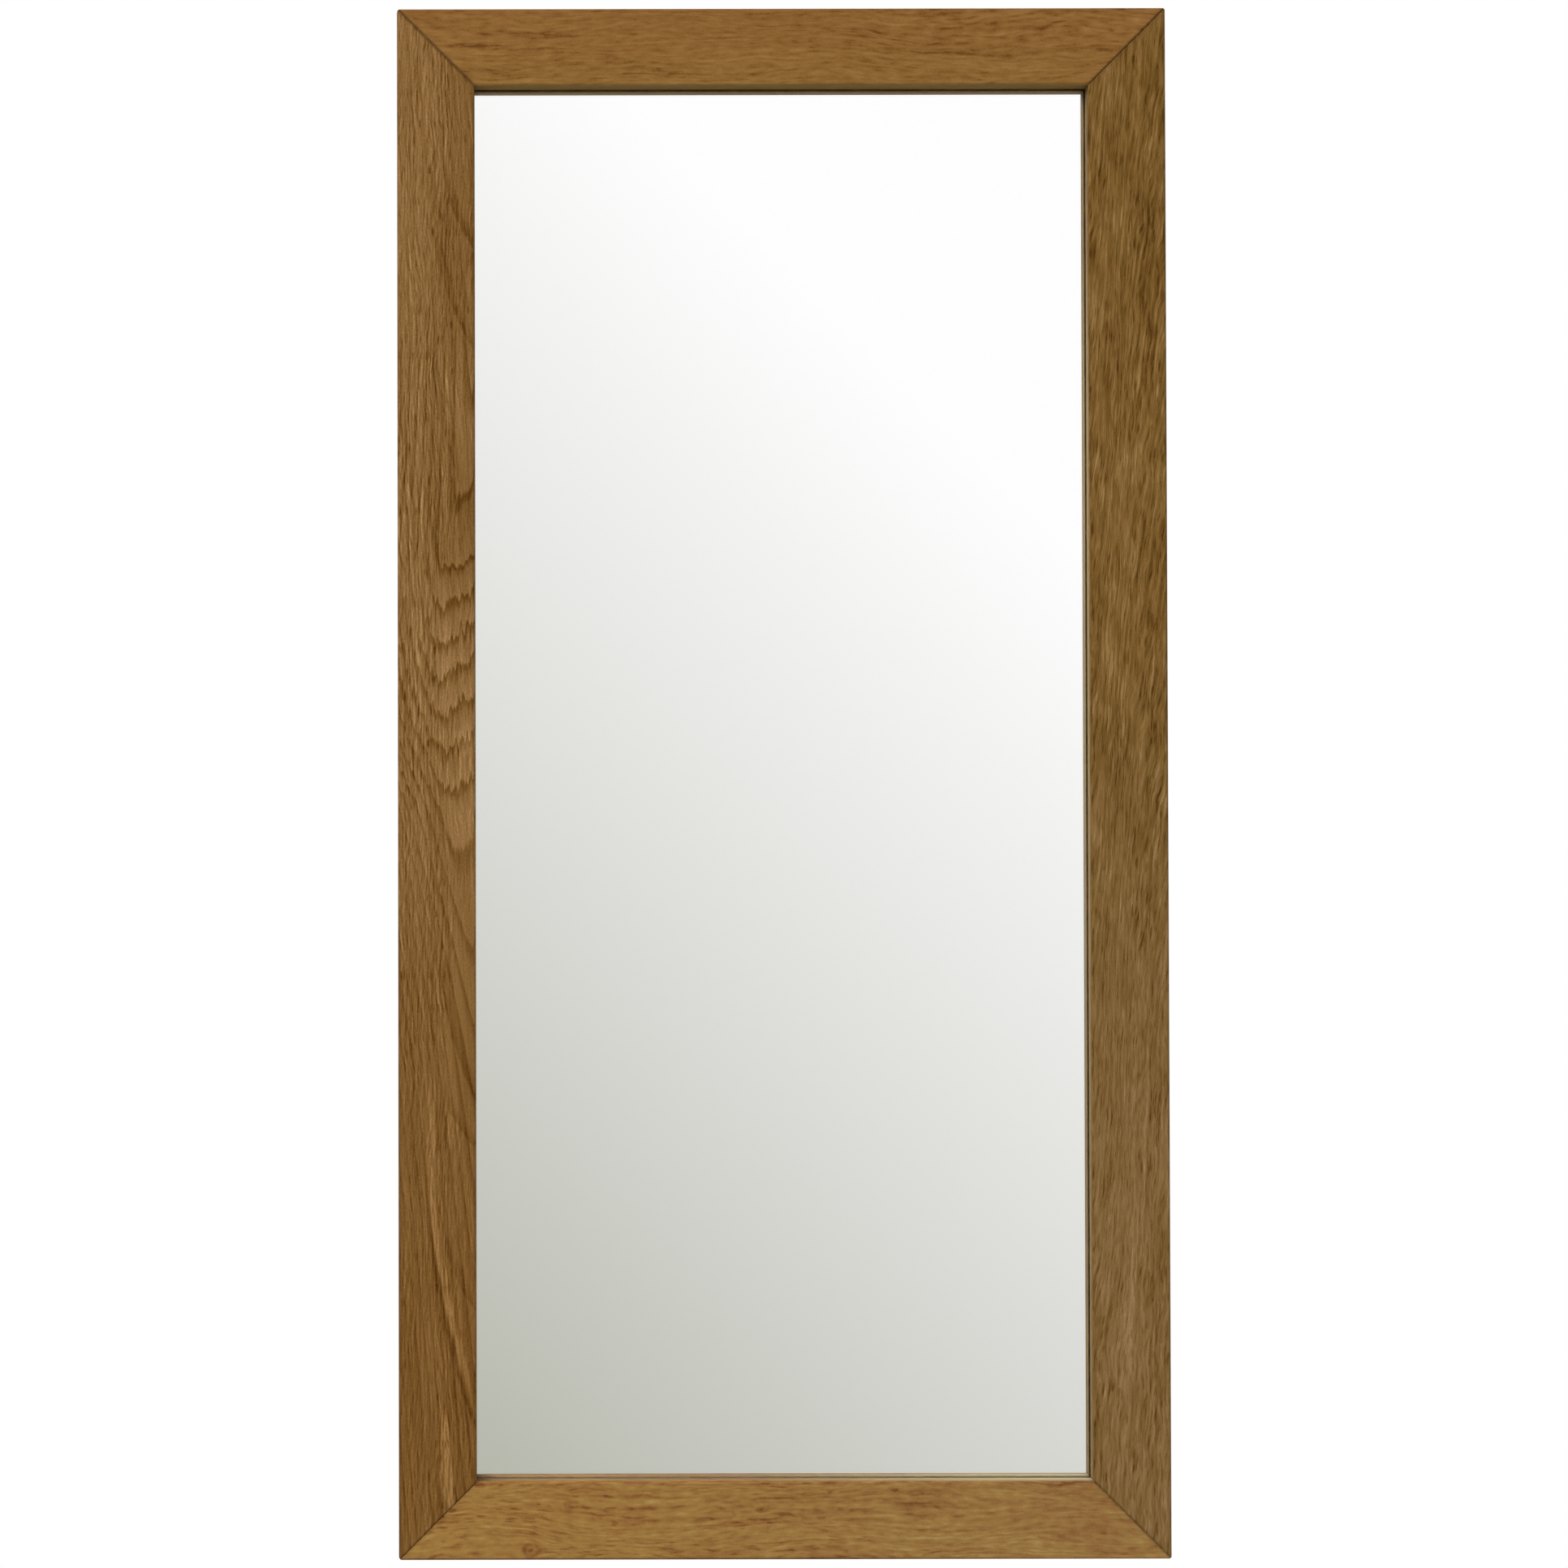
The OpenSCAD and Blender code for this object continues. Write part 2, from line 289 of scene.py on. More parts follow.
# The tone of a single face reaches round its edges to EDGE_REACH and is full at EDGE_FULL
EDGE_REACH = 1.2
EDGE_FULL = 0.2
# How raw the back of a board is left
RAW_BACK = 0.85
# Where the fine line and the brown border of a mitre start and are full, off its middle, how dark they are,
# and how much of that is left at the foot of the frame
JOINT_LINE_REACH = (0.45, 0.1)
JOINT_LINE = 0.06
JOINT_BORDER_REACH = (2.8, 0.6)
JOINT_BORDER = 0.34
JOINT_AT_FOOT = 0.6
# How far the pale and dark sides of an open pore lie from its middle, as a share of its width
PORE_SIDE = 0.3


class Board(Finish):
    """The oiled oak of one member. Its grain runs along z on a stile and along x on a rail.

    across, depth and along are the place on the board, from the middle of the frame and from the wall.
    So along runs from -600 at the foot of a stile to 600 at its top.
    """

    def __init__(self, name, upright):
        super().__init__(name, Specular_IOR_Level=0.06)
        self.across, self.along = (self.x, self.z) if upright else (self.z, self.x)
        self.depth = self.y

    def grain(self, across, width, length, detail=0.0):
        """Noise drawn out along the board, as wide and as long as given."""
        return self.noise(across / width, self.depth / width, self.along / length, detail)

    def waves(self, width, length):
        """Noise that bends the grain of a rail in waves, as wide and as long as given."""
        return self.noise(self.along / length, self.across / width, self.depth / width)

    def raised(self, across, width, length):
        """Streaks with a pale side and a dark one, as open pores have in light from one side.

        It is the difference of one noise at two places, one to each side.
        """
        left = self.grain(across + PORE_SIDE * width, width, length, detail=0.5)
        right = self.grain(across - PORE_SIDE * width, width, length, detail=0.5)
        return right - left

    def inner_arris(self, from_sight):
        """1 on the edge of the opening and 0 past the eased arris, by the distance from the opening."""
        return self.step(from_sight, INNER_ARRIS, ARRIS_FULL)

    def towards_glass(self, full):
        """0 at the front, and 1 from where the glass is full millimetres away to the back."""
        return self.step(self.depth, front_y + 0.3, glass_y - full)

    def lip_side(self):
        """1 on the side of the lip, which faces the opening in front of the glass."""
        beside = self.step(self.within(sight_half_w, sight_half_h), -EDGE_REACH, -EDGE_FULL)
        return beside * self.step(self.depth, glass_y + EDGE_FULL, glass_y - EDGE_FULL)

    def behind_lip(self):
        """1 just behind the lip, falling off towards the back of the board, and 0 in front of the glass."""
        behind = self.step(self.depth, glass_y - 0.1, glass_y)
        return behind * self.step(self.depth, back_y - 1.0, glass_y + 1.0)

    def outer_arris(self):
        """1 on the eased outer arris of the front."""
        beside = self.step(self.within(frame_half_w, frame_half_h), OUTER_ARRIS, ARRIS_FULL)
        return beside * self.step(self.depth, front_y + OUTER_ARRIS_DEPTH, front_y + ARRIS_FULL)

    def joint(self):
        """How dark the mitre is: a fine line with a soft brown border, fainter towards the foot."""
        off = abs((abs(self.x) - frame_half_w - abs(self.z) + frame_half_h) * math.sqrt(0.5))
        line = self.step(off, *JOINT_LINE_REACH) * JOINT_LINE
        border = self.step(off, *JOINT_BORDER_REACH) * JOINT_BORDER
        upwards = self.step(self.z, -sight_half_h, sight_half_h)
        return (line + border) * (upwards * (1 - JOINT_AT_FOOT) + JOINT_AT_FOOT)

    def oil(self, tones, shade, height, tints, share, lip_light_tone, lip, rebate_light=0.0, rim=0.2):
        """Finishes the board by shade, its lightness: -1 for pore brown, 0 for the middle, 1 for the palest.

        The two tints are factors of red, green and blue, for the ends of the board where share is 0 and 1.
        The side of the lip takes the lip tone, as strongly as lip says: painted light, a highlight on the
        sides that face the light, as grazing sheen and light from above would pale them, and a paler tone on
        the shaded side under the top rail. The rebate tone says how strongly the wood behind the lip is
        painted pale, as painted light in the shaded thin line between the lip and its image in the glass. rim
        says how far the outer front arris is darkened towards joint brown. The back of the board is left
        almost raw.
        """
        oiled = [(place, srgb(*tone)) for place, tone in zip(TONE_STOPS, tones)]
        raw = [(place, srgb(*tone)) for place, tone in zip(TONE_STOPS, RAW_TONES)]
        level = shade * 0.5 + 0.5
        tint = self.mix(share, (*tints[0], 1), (*tints[1], 1))
        colour = self.mix(1.0, self.tones(level, *oiled), tint, blend="MULTIPLY")
        # Painted light on the side of the lip: a highlight where it faces the light, a paler tone where it is
        # in shade
        colour = self.mix(self.lip_side() * lip, colour, srgb(*lip_light_tone))
        # Painted light behind the lip, which lifts the shaded thin line between the lip and its image in the
        # glass
        colour = self.mix(self.behind_lip() * rebate_light, colour, REBATE_LIGHT_TONE)
        bare = self.step(self.depth, back_y - EDGE_REACH, back_y - EDGE_FULL)
        colour = self.mix(bare * RAW_BACK, colour, self.tones(level, *raw))
        colour = self.mix(self.joint(), colour, JOINT_BROWN)
        # Darkens the outer front arris towards joint brown, as strongly as rim says
        colour = self.mix(self.outer_arris() * rim, colour, JOINT_BROWN)
        self.paint(colour)
        self.roughen(0.56 - shade * 0.06 + bare * 0.2)
        self.relief(height)
        return self.material


# The rings of the left stile: one for each RING_PITCH down the board, and CROWD_RINGS more over the
# CROWD_LENGTH below CROWD_TOP. Away from the line of their tips they climb by OUTER_ARM rings for each
# millimetre outwards and by INNER_ARM inwards. The tips are rounded over a width whose square is OUTER_TIP
# on the outer side and INNER_TIP on the inner one
RING_START = 8.56
RING_PITCH = 75
RINGS_BY_DEPTH = 0.2
CROWD_TOP = 175
CROWD_LENGTH = 195
CROWD_RINGS = 4.36
OUTER_ARM = 0.16
INNER_ARM = 0.02
OUTER_TIP = 200
INNER_TIP = 16
# Where each single ring of the left stile starts (across and along), how it bends, how dark it is and where
# it ends. Those that end above the lower edge run into an arch
LEFT_BOWS = (
    (-261, 479, 0.0053, 0.48, -600),
    (-268.7, 435, 0.0030, 0.34, 300),
    (-276, 385, 0.0011, 0.27, 232),
    (-279, 250, 0.0019, 0.3, 164),
    (-266, -120, 0.00175, 0.5, -600),
    (-264.5, -225, 0.008, 0.45, -600),
    (-263.5, -335, 0.0047, 0.4, -600),
)
# A bow grows dark over the first length and ends over twice the second
BOW_GROWTH = 35
BOW_END = 8


def left_arches(f, crowded, fingers):
    """The lightness that the arches give, and how far streaks take their place on the outer half.

    The rings are curves of equal phase. The phase grows down the board, faster in its middle where the
    arches crowd, and with the distance from the line that the arches point along, much faster outwards
    than inwards. Noise that is long along the grain gives the arches their fingered edges. Each ring
    starts dark, grows paler and turns dark again at its end. The rings are fainter in the lower half,
    and faintest near the top.
    """
    across, along = f.across, f.along
    along_ring = along - fingers - f.grain(across, 40, 120) * 4
    tips_line = -228 - 38 * f.bell(along, 80, 190)
    off_tips = across - tips_line
    outward = f.least(off_tips, 0.0)
    inward = f.most(off_tips, 0.0)
    arms = f.root(outward * outward + OUTER_TIP) * OUTER_ARM
    arms = arms + f.root(inward * inward + INNER_TIP) * INNER_ARM
    crowd = f.least(f.most((CROWD_TOP - along_ring) / CROWD_LENGTH, 0.0), 1.0) * CROWD_RINGS
    phase = crowd + arms - along_ring / RING_PITCH + (f.depth - front_y) * RINGS_BY_DEPTH + RING_START
    ring = f.math("FRACT", phase)
    outer_half = f.step(off_tips, 6.0, -14.0)
    streaky = outer_half * f.step(across, -248, -264)
    dark_part = f.most(crowded, outer_half) * 0.25 + 0.15
    shade = ring * (0.45 + crowded * 0.12) - f.step(ring, dark_part, 0.0) * 0.7
    shade = shade - f.step(ring, 0.9, 1.0) * 1.15
    top_end = f.step(along, 290, 390)
    shade = shade * (0.85 - streaky * 0.3) * (1 - f.step(along, 10, -60) * 0.32 - top_end * 0.75)
    return shade + top_end * 0.05, streaky


def off_bow(f, fingers, start, top, bend):
    """Distance inwards from a line that is upright above top and leans in below it, by the square."""
    below = f.most(top - f.along, 0.0)
    return f.across - start - below * below * bend + fingers * 0.25


def left_single_rings(f, fingers, shade):
    """The shade with the single rings and with a pale band along the lower half.

    Each ring is darkest on its outer side and fades inwards. The band bends in to the glass, as the rings
    do, and has a dark line on its outer side.
    """
    along = f.along
    for start, top, bend, dark, end in LEFT_BOWS:
        off_ring = off_bow(f, fingers, start, top, bend)
        inside = f.step(off_ring, -1.5, 0.5) * f.step(off_ring, 9.0, 0.0)
        inside = inside * f.step(along, top, top - BOW_GROWTH) * f.step(along, end - BOW_END, end + BOW_END)
        shade = shade - inside * dark
    off_band = off_bow(f, fingers, -271.5, -288, 0.00088) + fingers * 0.35
    band = f.step(off_band, -3.6, -2.2) * f.step(off_band, 4.0, 1.0)
    band = band * (f.step(along, -320, -370) * 0.16 + 0.42)
    band = band * (f.step(along, -200, -270) * f.step(along, -480, -440))
    return shade + band - f.bell(off_band, -5.0, 1.6) * f.step(along, -300, -380) * 0.6


def left_stile_oak():
    """Straight fine streaks on the outer half, and arches that point down on the inner half.

    The streaks are strongest on the outer half. On the inner one they stand out near the top, where the
    rings fade, and in the lowest third. The upper part is duskier towards the glass. A pale ray lies near
    the foot and a pale patch among the arches.
    """
    f = Board("oak_left", upright=True)
    across, along = f.across, f.along
    crowded = f.step(along, 210, 130) * f.step(along, -140, -50)
    fingers = f.grain(across, 2.4, 30, detail=1.0) * (2.5 + crowded * 4)
    rings, streaky = left_arches(f, crowded, fingers)

    wander = across + f.grain(across, 30, 90) * 2.5
    wander = wander + f.grain(across, 7, 35) * 0.6
    pores = f.step(f.grain(wander, 1.0, 12), 0.45, 0.9)
    fine_relief = f.raised(wander, 1.3, 7)
    streaks = f.raised(wander, 2.0, 20) * 0.36 + fine_relief * 0.26
    streaks = streaks + f.grain(wander, 1.4, 40, detail=1.0) * 0.22 - pores * 0.6
    slant = across + along * 0.057
    bands = f.grain(slant, 4, 170, detail=2.0) * 0.27 + f.grain(slant, 14, 120, detail=1.0) * 0.16
    dusky = f.step(along, 100, 420) * f.step(across, -290, -245)
    shade = rings + bands + f.grain(across, 1.0, 1.8) * 0.16 - dusky * 0.34 + 0.08

    calm = f.step(along, -120, -260) * 0.35 + f.grain(across, 16, 60) * 0.2
    calm = calm + f.step(across, -267, -258) * f.step(along, -20, -90) * f.step(along, -270, -220) * 0.4
    calm = calm + f.step(along, 400, 520) * 0.12
    lively = f.step(along, 330, 430) * f.step(along, 590, 480) * (f.step(across, -280, -255) * 0.2 + 0.04)
    low_inner = f.step(along, -230, -300) * f.step(across, -274, -262)
    shade = shade + streaks * (0.5 + streaky * 0.44 + low_inner * 0.35 + lively - calm * 0.8)
    shade = shade - f.spot(across, along, (-246, 180), (14, 75)) * 0.36
    shade = left_single_rings(f, fingers, shade)

    ragged = across + f.grain(wander, 2.0, 25, detail=1.0) * 1.5
    ray = f.spot(ragged + along * 0.07, along, (-297, -528), (5.0, 44))
    shade = shade + f.step(ray, 0.3, 0.6) * 0.7
    shade = shade - f.step(along, -440, -500) * f.step(across, -262, -252) * 0.2
    shade = shade + f.spot(ragged, along, (-246, 30), (5.0, 12)) * 0.5
    height = pores * -0.1 - fine_relief * 0.03
    share = f.step(along, 150, -480)
    tints = ((0.985, 1.005, 1.06), (0.83, 0.765, 0.63))
    rim = f.step(along, 0, -200) * 0.3 + 0.15
    # The side of the lip takes a faint painted light
    return f.oil(LEFT_TONES, shade, height, tints, share, lip_light_tone=(140, 110, 70), lip=0.3, rim=rim)


def right_stile_oak():
    """Short streaks that lean to the right and stand straighter lower down, over patches of gold and brown.

    Near the inner edge they lean further from 440 to 260 mm below the middle, like a fan. The upper half
    is livelier. A pale streak lies along the middle of the lowest third. The eased inner arris is painted
    darker, as painted shade, and the side of the lip carries a painted highlight, palest next to the glass
    and somewhat above the middle of the frame.
    """
    f = Board("oak_right", upright=True)
    across, along = f.across, f.along
    upper = f.most(along + 150, 0.0)
    fan = f.least(f.most(along + 410, -30), 150) * f.step(across, 276, 240) * 0.12
    lean = across - along * 0.05 - upper * 0.07 - fan + f.grain(across, 9, 35) * 1.2
    lively = f.step(along, -200, 50)
    patches = f.grain(across + along * 0.25, 8, 45, detail=1.0)
    flame = f.grain(across, 6, 16, detail=1.0)
    bands = f.grain(lean, 3.0, 55, detail=1.5)
    shade = (patches * 0.22 + flame * 0.24) * (0.5 + lively * 0.5) + bands * (0.3 + lively * 0.14)
    gold = f.step(f.grain(lean, 2.3, 32, detail=1.0), 0.3, 0.8)
    shade = shade + gold * (0.16 + lively * 0.22) + f.grain(across, 1.0, 1.8) * 0.08 + 0.07
    shade = shade + f.bell(along, 200, 140) * 0.22
    shade = shade - f.step(across, 250, 295) * f.step(along, -150, 100) * 0.16
    # Painted shade on the eased inner arris and the side of the lip, which face the light from the left
    shade = shade - f.inner_arris(across - sight_half_w) * 0.35
    shade = shade + f.spot(lean + along * 0.03, along, (273.5, -410), (5, 110)) * 0.4

    pores = f.step(f.grain(lean, 1.15, 11), 0.35, 0.85)
    fine_relief = f.raised(lean, 1.4, 7)
    streaks = f.raised(lean, 2.4, 18) * 0.3 + fine_relief * 0.2 - pores * 0.6
    calm = f.grain(across, 14, 45) * 0.25
    shade = shade + streaks * (0.74 + lively * 0.12 - calm)
    height = pores * -0.1 - fine_relief * 0.03
    share = f.step(along, 150, -250)
    tints = ((0.9, 0.87, 0.75), (1.07, 1.125, 1.4))
    # Painted highlight on the side of the lip, palest next to the glass and above the middle
    lip = f.step(along, -500, 200) * 0.36 + 0.5 - f.step(along, 260, 480) * 0.45
    lip = lip * f.towards_glass(2.5)
    return f.oil(RIGHT_TONES, shade, height, tints, share, lip_light_tone=(172, 149, 110), lip=lip)


def top_rail_oak():
    """Fine wavy grain of low contrast, warmer above and more golden below.

    It is livelier in the upper right, and two dark streaks lie near the left mitre: a short one, and a
    longer and softer one above it.
    """
    f = Board("oak_top", upright=False)
    across, along = f.across, f.along
    bend = across + f.waves(50, 120) * 5 + f.waves(8, 28) * 0.9
    lines = f.grain(bend, 3.2, 120, detail=1.5)
    thin = f.grain(bend, 1.7, 70, detail=1.0)
    fine = f.grain(bend, 2.2, 10)
    cloud = f.grain(bend, 11, 140, detail=1.0)
    specks = f.grain(across, 1.2, 1.8)
    marks = f.step(f.grain(bend, 1.5, 22), 0.3, 0.9)
    pores = f.step(f.grain(bend, 1.0, 9), 0.6, 0.95)
    lively = f.step(along, 40, 140) * f.step(across, 568, 582) * 0.36 + 1.0
    shade = (lines * 0.28 + thin * 0.2 + fine * 0.32) * lively + cloud * 0.12 + specks * 0.14
    shade = shade - (marks * 0.2 + pores * 0.22) * lively - 0.15
    shade = shade - f.spot(across + fine * 0.5, along, (571, -237), (1.9, 20)) * 1.15
    shade = shade - f.spot(across + fine * 0.8, along, (579.5, -192), (3.2, 36)) * 0.55
    # Painted light on the eased inner arris and the side of the lip, which face down into shade
    shade = shade + f.inner_arris(across - sight_half_h) * 0.3
    share = f.step(across, frame_half_h, sight_half_h)
    tints = ((0.97, 0.93, 0.9), (1.02, 1.05, 1.05))
    # The shaded side of the lip under this rail is painted paler, as painted light
    return f.oil(TOP_TONES, shade, pores * -0.08, tints, share, lip_light_tone=(134, 110, 60), lip=0.7)


# Where the knot of the bottom rail is, across and along
KNOT = (-592, -196)


def bottom_rail_oak():
    """Light golden oak with short dark pores, most of them on the left and along the middle there.

    The grain parts round a small knot near the left end, which has a dark ring and a dark heart. A soft
    smudge lies on each side of the middle, and a dark streak at the right. The eased inner arris is painted
    darker, as painted shade where it faces the light from above, and the side of the lip carries a painted
    highlight, palest next to the glass and to the right. The rebate behind the lip is painted pale, as
    painted light in its shade.
    """
    f = Board("oak_bottom", upright=False)
    across, along = f.across, f.along
    around = f.spot(across, along, KNOT, (11, 16))
    parted = across - (across - KNOT[0]) * around * 0.6
    bend = parted + f.waves(35, 130) * 5 + f.waves(8, 30) * 0.6
    lines = f.grain(bend, 3.8, 45, detail=1.0)
    thin = f.grain(bend, 1.9, 70, detail=1.0)
    fine = f.grain(bend, 2.3, 9)
    cloud = f.grain(bend, 12, 70, detail=1.0)
    specks = f.grain(across, 1.2, 1.8)
    dense = f.step(f.grain(across, 14, 60), -0.6, 0.7) * f.step(along, 250, 60)
    dashes = f.step(f.grain(bend, 2.2, 9), 0.3, 0.9) * (dense * 0.7 + 0.3)
    crowded = f.spot(across + lines * 1.5, along, (-562, -140), (7, 110))
    shade = lines * 0.32 + thin * 0.31 + fine * 0.34 + cloud * 0.2 + specks * 0.12 + 0.08
    shade = shade - dashes * (crowded * 0.3 + 0.64) - crowded * 0.24

    off_u = across - KNOT[0]
    off_v = (along - KNOT[1]) * 0.75
    from_knot = f.root(off_u * off_u + off_v * off_v) + f.grain(across, 2.5, 3.5, detail=1.0) * 0.9
    shade = shade - f.bell(from_knot, 4.4, 1.5) * 0.74 - f.bell(from_knot, 0.0, 1.6)
    smudges = f.spot(across, along, (-557, 98), (6, 13)) + f.spot(across, along, (-553, -49), (7, 16))
    shade = shade - smudges * 0.45 + f.step(across, -565, -592) * f.step(along, -100, 150) * 0.2
    shade = shade - f.spot(across - along * 0.18 + fine, along, (-581, 216), (1.3, 13)) * 1.1
    # Painted shade on the eased inner arris and the side of the lip, which face up to the light
    shade = shade - f.inner_arris(-sight_half_h - across) * 0.3
    share = f.step(along, -frame_half_w, frame_half_w)
    tints = ((1.03, 1.01, 0.985), (0.96, 0.955, 1.09))
    # Painted highlight on the side of the lip, which faces up to the light, palest next to the glass and to
    # the right
    lip = (f.step(along, -60, 260) * 0.82 + 0.18) * f.towards_glass(3.5)
    rim = f.step(along, 250, -50) * 0.45 + 0.15
    return f.oil(BOTTOM_TONES, shade, dashes * -0.08, tints, share, lip_light_tone=(190, 177, 138), lip=lip,
                 rebate_light=0.9, rim=rim)


# Finishes of the glass and of what is hidden behind it

def pane_glass():
    """Clear float glass, faintly green, and greener towards its cut edges."""
    f = Finish("glass", Transmission_Weight=1.0, Roughness=0.0, IOR=1.52)
    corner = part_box("mirror_glass")[1] / MM
    edge = f.step(f.within(corner.x, corner.z), 3.0, 0.0)
    f.paint(f.mix(edge, (0.995, 1.0, 0.997, 1), srgb(196, 224, 208)))
    return f.material


def silvering():
    """Silver towards the glass, and grey backing paint on the other side and along the rim."""
    f = Finish("silver", Roughness=0.0)
    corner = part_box("silver_coating")[1] / MM
    normal = f.nodes.new("ShaderNodeNewGeometry").outputs["Normal"]
    facing = f.node("ShaderNodeSeparateXYZ", {0: normal})
    front = f.step(Field(f, facing.outputs[1]), -0.5, -0.9)
    wander = f.noise(f.x / 6, f.z / 6, 0.0, detail=2.0) * 0.3
    silver = front * f.step(f.within(corner.x, corner.z) + wander, 0.3, 1.0)
    f.paint(f.mix(silver, srgb(96, 92, 88), (0.99, 0.99, 0.99, 1)))
    f.links.new(silver.socket, f.shader.inputs["Metallic"])
    f.roughen(0.55 - silver * 0.55)
    return f.material


def hardboard():
    """Brown fibres pressed on a wire screen, which leaves a fine woven print on the back."""
    f = Finish("hardboard", Specular_IOR_Level=0.25)
    screen_pitch = 1.7
    turn = 2 * math.pi / screen_pitch
    weave = f.math("SINE", f.x * turn) * f.math("SINE", f.z * turn)
    fibres = f.even_noise(0.9, detail=4.0, rough=0.7)
    chips = f.even_noise(5, detail=5.0, rough=0.75)
    cloud = f.even_noise(90, detail=2.0)
    off, pick = f.cells(f.x / 7, f.y / 7, f.z / 7)
    flecks = f.step(off, 0.22, 0.1) * pick
    tone = 0.5 + fibres * 0.2 + chips * 0.16 + cloud * 0.05 + weave * 0.08 - flecks * 0.3
    f.paint(f.tones(tone, (0.0, srgb(72, 46, 28)), (0.5, srgb(118, 82, 52)), (1.0, srgb(158, 120, 84))))
    f.roughen(0.82 - fibres * 0.05)
    f.relief(weave * 0.12 + fibres * 0.05)
    return f.material


def beech():
    """Pale pressed beech with short dark flecks along the grain, which rises at 45 degrees towards +X."""
    f = Finish("beech", Specular_IOR_Level=0.25)
    along = (f.x + f.z) * math.sqrt(0.5)
    across = (f.x - f.z) * math.sqrt(0.5)
    off, pick = f.cells(across / 1.2, f.y / 1.2, along / 4)
    flecks = f.step(off, 0.3, 0.1) * pick
    grain = f.noise(across / 0.8, f.y / 0.8, along / 20, detail=2.0)
    tone = 0.6 + grain * 0.2 - flecks * 0.5
    f.paint(f.tones(tone, (0.0, srgb(150, 108, 70)), (1.0, srgb(222, 188, 146))))
    f.roughen(0.7 + grain * 0.05)
    f.relief(grain * 0.03 - flecks * 0.05)
    return f.material


def rubber():
    """Matt moulded rubber, faintly speckled and greyed by dust in patches."""
    f = Finish("rubber", Specular_IOR_Level=0.4)
    speckle = f.even_noise(0.35, detail=3.0, rough=0.6)
    dust = f.even_noise(5, detail=2.0)
    tone = 0.4 + speckle * 0.15 + dust * 0.15
    f.paint(f.tones(tone, (0.0, srgb(30, 30, 31)), (1.0, srgb(74, 73, 72))))
    f.roughen(0.72 + speckle * 0.06)
    f.relief(speckle * 0.03)
    return f.material


def plated_steel(name, bright, dull, grain):
    """Plated steel. grain is how long the marks of rolling or drawing are along x, y and z."""
    f = Finish(name, Metallic=1.0)
    marks = f.noise(f.x / grain[0], f.y / grain[1], f.z / grain[2], detail=2.0)
    stain = f.even_noise(7, detail=3.0, rough=0.6)
    shine = f.cells(f.x / 1.6, f.y / 1.6, f.z / 1.6)[1]
    tone = 0.55 + marks * 0.12 + stain * 0.2 + shine * 0.12
    f.paint(f.tones(tone, (0.0, dull), (1.0, bright)))
    f.roughen(0.34 + marks * 0.04 + stain * 0.06)
    f.relief(marks * 0.01 + shine * 0.004)
    return f.material


def dress(material, *nodes):
    """Gives a finish to CAD nodes."""
    for name in nodes:
        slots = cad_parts[name].data.materials
        slots.clear()
        slots.append(material)


CORNERS = [f"{end}_{side}" for end in ("top", "bottom") for side in ("left", "right")]
STRAP_STEEL = plated_steel("zinc_steel", srgb(226, 226, 222), srgb(172, 170, 158), (0.3, 0.3, 18))
RING_STEEL = plated_steel("ring_steel", srgb(232, 232, 230), srgb(182, 180, 172), (3, 0.3, 3))
SCREW_STEEL = plated_steel("screw_steel", srgb(232, 229, 218), srgb(184, 178, 158), (0.4, 0.4, 0.4))
POINT_STEEL = plated_steel("point_steel", srgb(214, 215, 216), srgb(160, 161, 162), (0.4, 0.3, 12))
dress(left_stile_oak(), "left_stile")
dress(right_stile_oak(), "right_stile")
dress(top_rail_oak(), "top_rail")
dress(bottom_rail_oak(), "bottom_rail")
dress(beech(), *(f"biscuit_{corner}" for corner in CORNERS))
dress(hardboard(), "backing_board")
dress(rubber(), "setting_blocks", *(f"wall_pad_{corner}" for corner in CORNERS))
dress(STRAP_STEEL, "left_hanger_strap", "right_hanger_strap")
dress(RING_STEEL, "left_d_ring", "right_d_ring")
dress(POINT_STEEL, "points_left_stile", "points_right_stile", "points_top_rail", "points_bottom_rail")


# New pieces

def piece(name, points, faces, material, smooth=False):
    """A mesh object from points and faces, with doubled points merged and all faces turned outwards."""
    mesh = bpy.data.meshes.new(name)
    mesh.from_pydata(points.reshape(-1, 3).tolist(), [], faces.tolist())
    work = bmesh.new()
    work.from_mesh(mesh)
    bmesh.ops.remove_doubles(work, verts=work.verts, dist=1e-7)
    bmesh.ops.recalc_face_normals(work, faces=work.faces)
    work.to_mesh(mesh)
    work.free()
    mesh.polygons.foreach_set("use_smooth", np.full(len(mesh.polygons), smooth))
    mesh.materials.append(material)
    made = bpy.data.objects.new(name, mesh)
    bpy.context.scene.collection.objects.link(made)
    return made


def grid_faces(rows, columns, start=0):
    """Quads between neighbouring rows of points, where each row closes on itself."""
    row, column = np.mgrid[0:rows - 1, 0:columns]
    after = (column + 1) % columns
    corners = (row * columns + column, row * columns + after,
               (row + 1) * columns + after, (row + 1) * columns + column)
    return np.stack(corners, axis=-1).reshape(-1, 4) + start


def sheet_with_arrises(name, low, high, arris, material):
    """A flat sheet whose edges are ground at 45 degrees.

    Four rectangles follow each other from front to back, and the first and last are inset by the arris.
    """
    planes = ((low.y, arris), (low.y + arris, 0.0), (high.y - arris, 0.0), (high.y, arris))
    sides = np.array(((-1, -1), (1, -1), (1, 1), (-1, 1)))
    middle = np.array((low.x + high.x, low.z + high.z)) / 2
    reach = np.array((high.x - low.x, high.z - low.z)) / 2
    points = []
    for y, inset in planes:
        flat = middle + sides * (reach - inset)
        points.append(np.column_stack((flat[:, 0], np.full(4, y), flat[:, 1])))
    caps = np.array(((0, 1, 2, 3), (12, 13, 14, 15)))
    faces = np.vstack((grid_faces(4, 4), caps))
    return piece(name, np.array(points), faces, material)


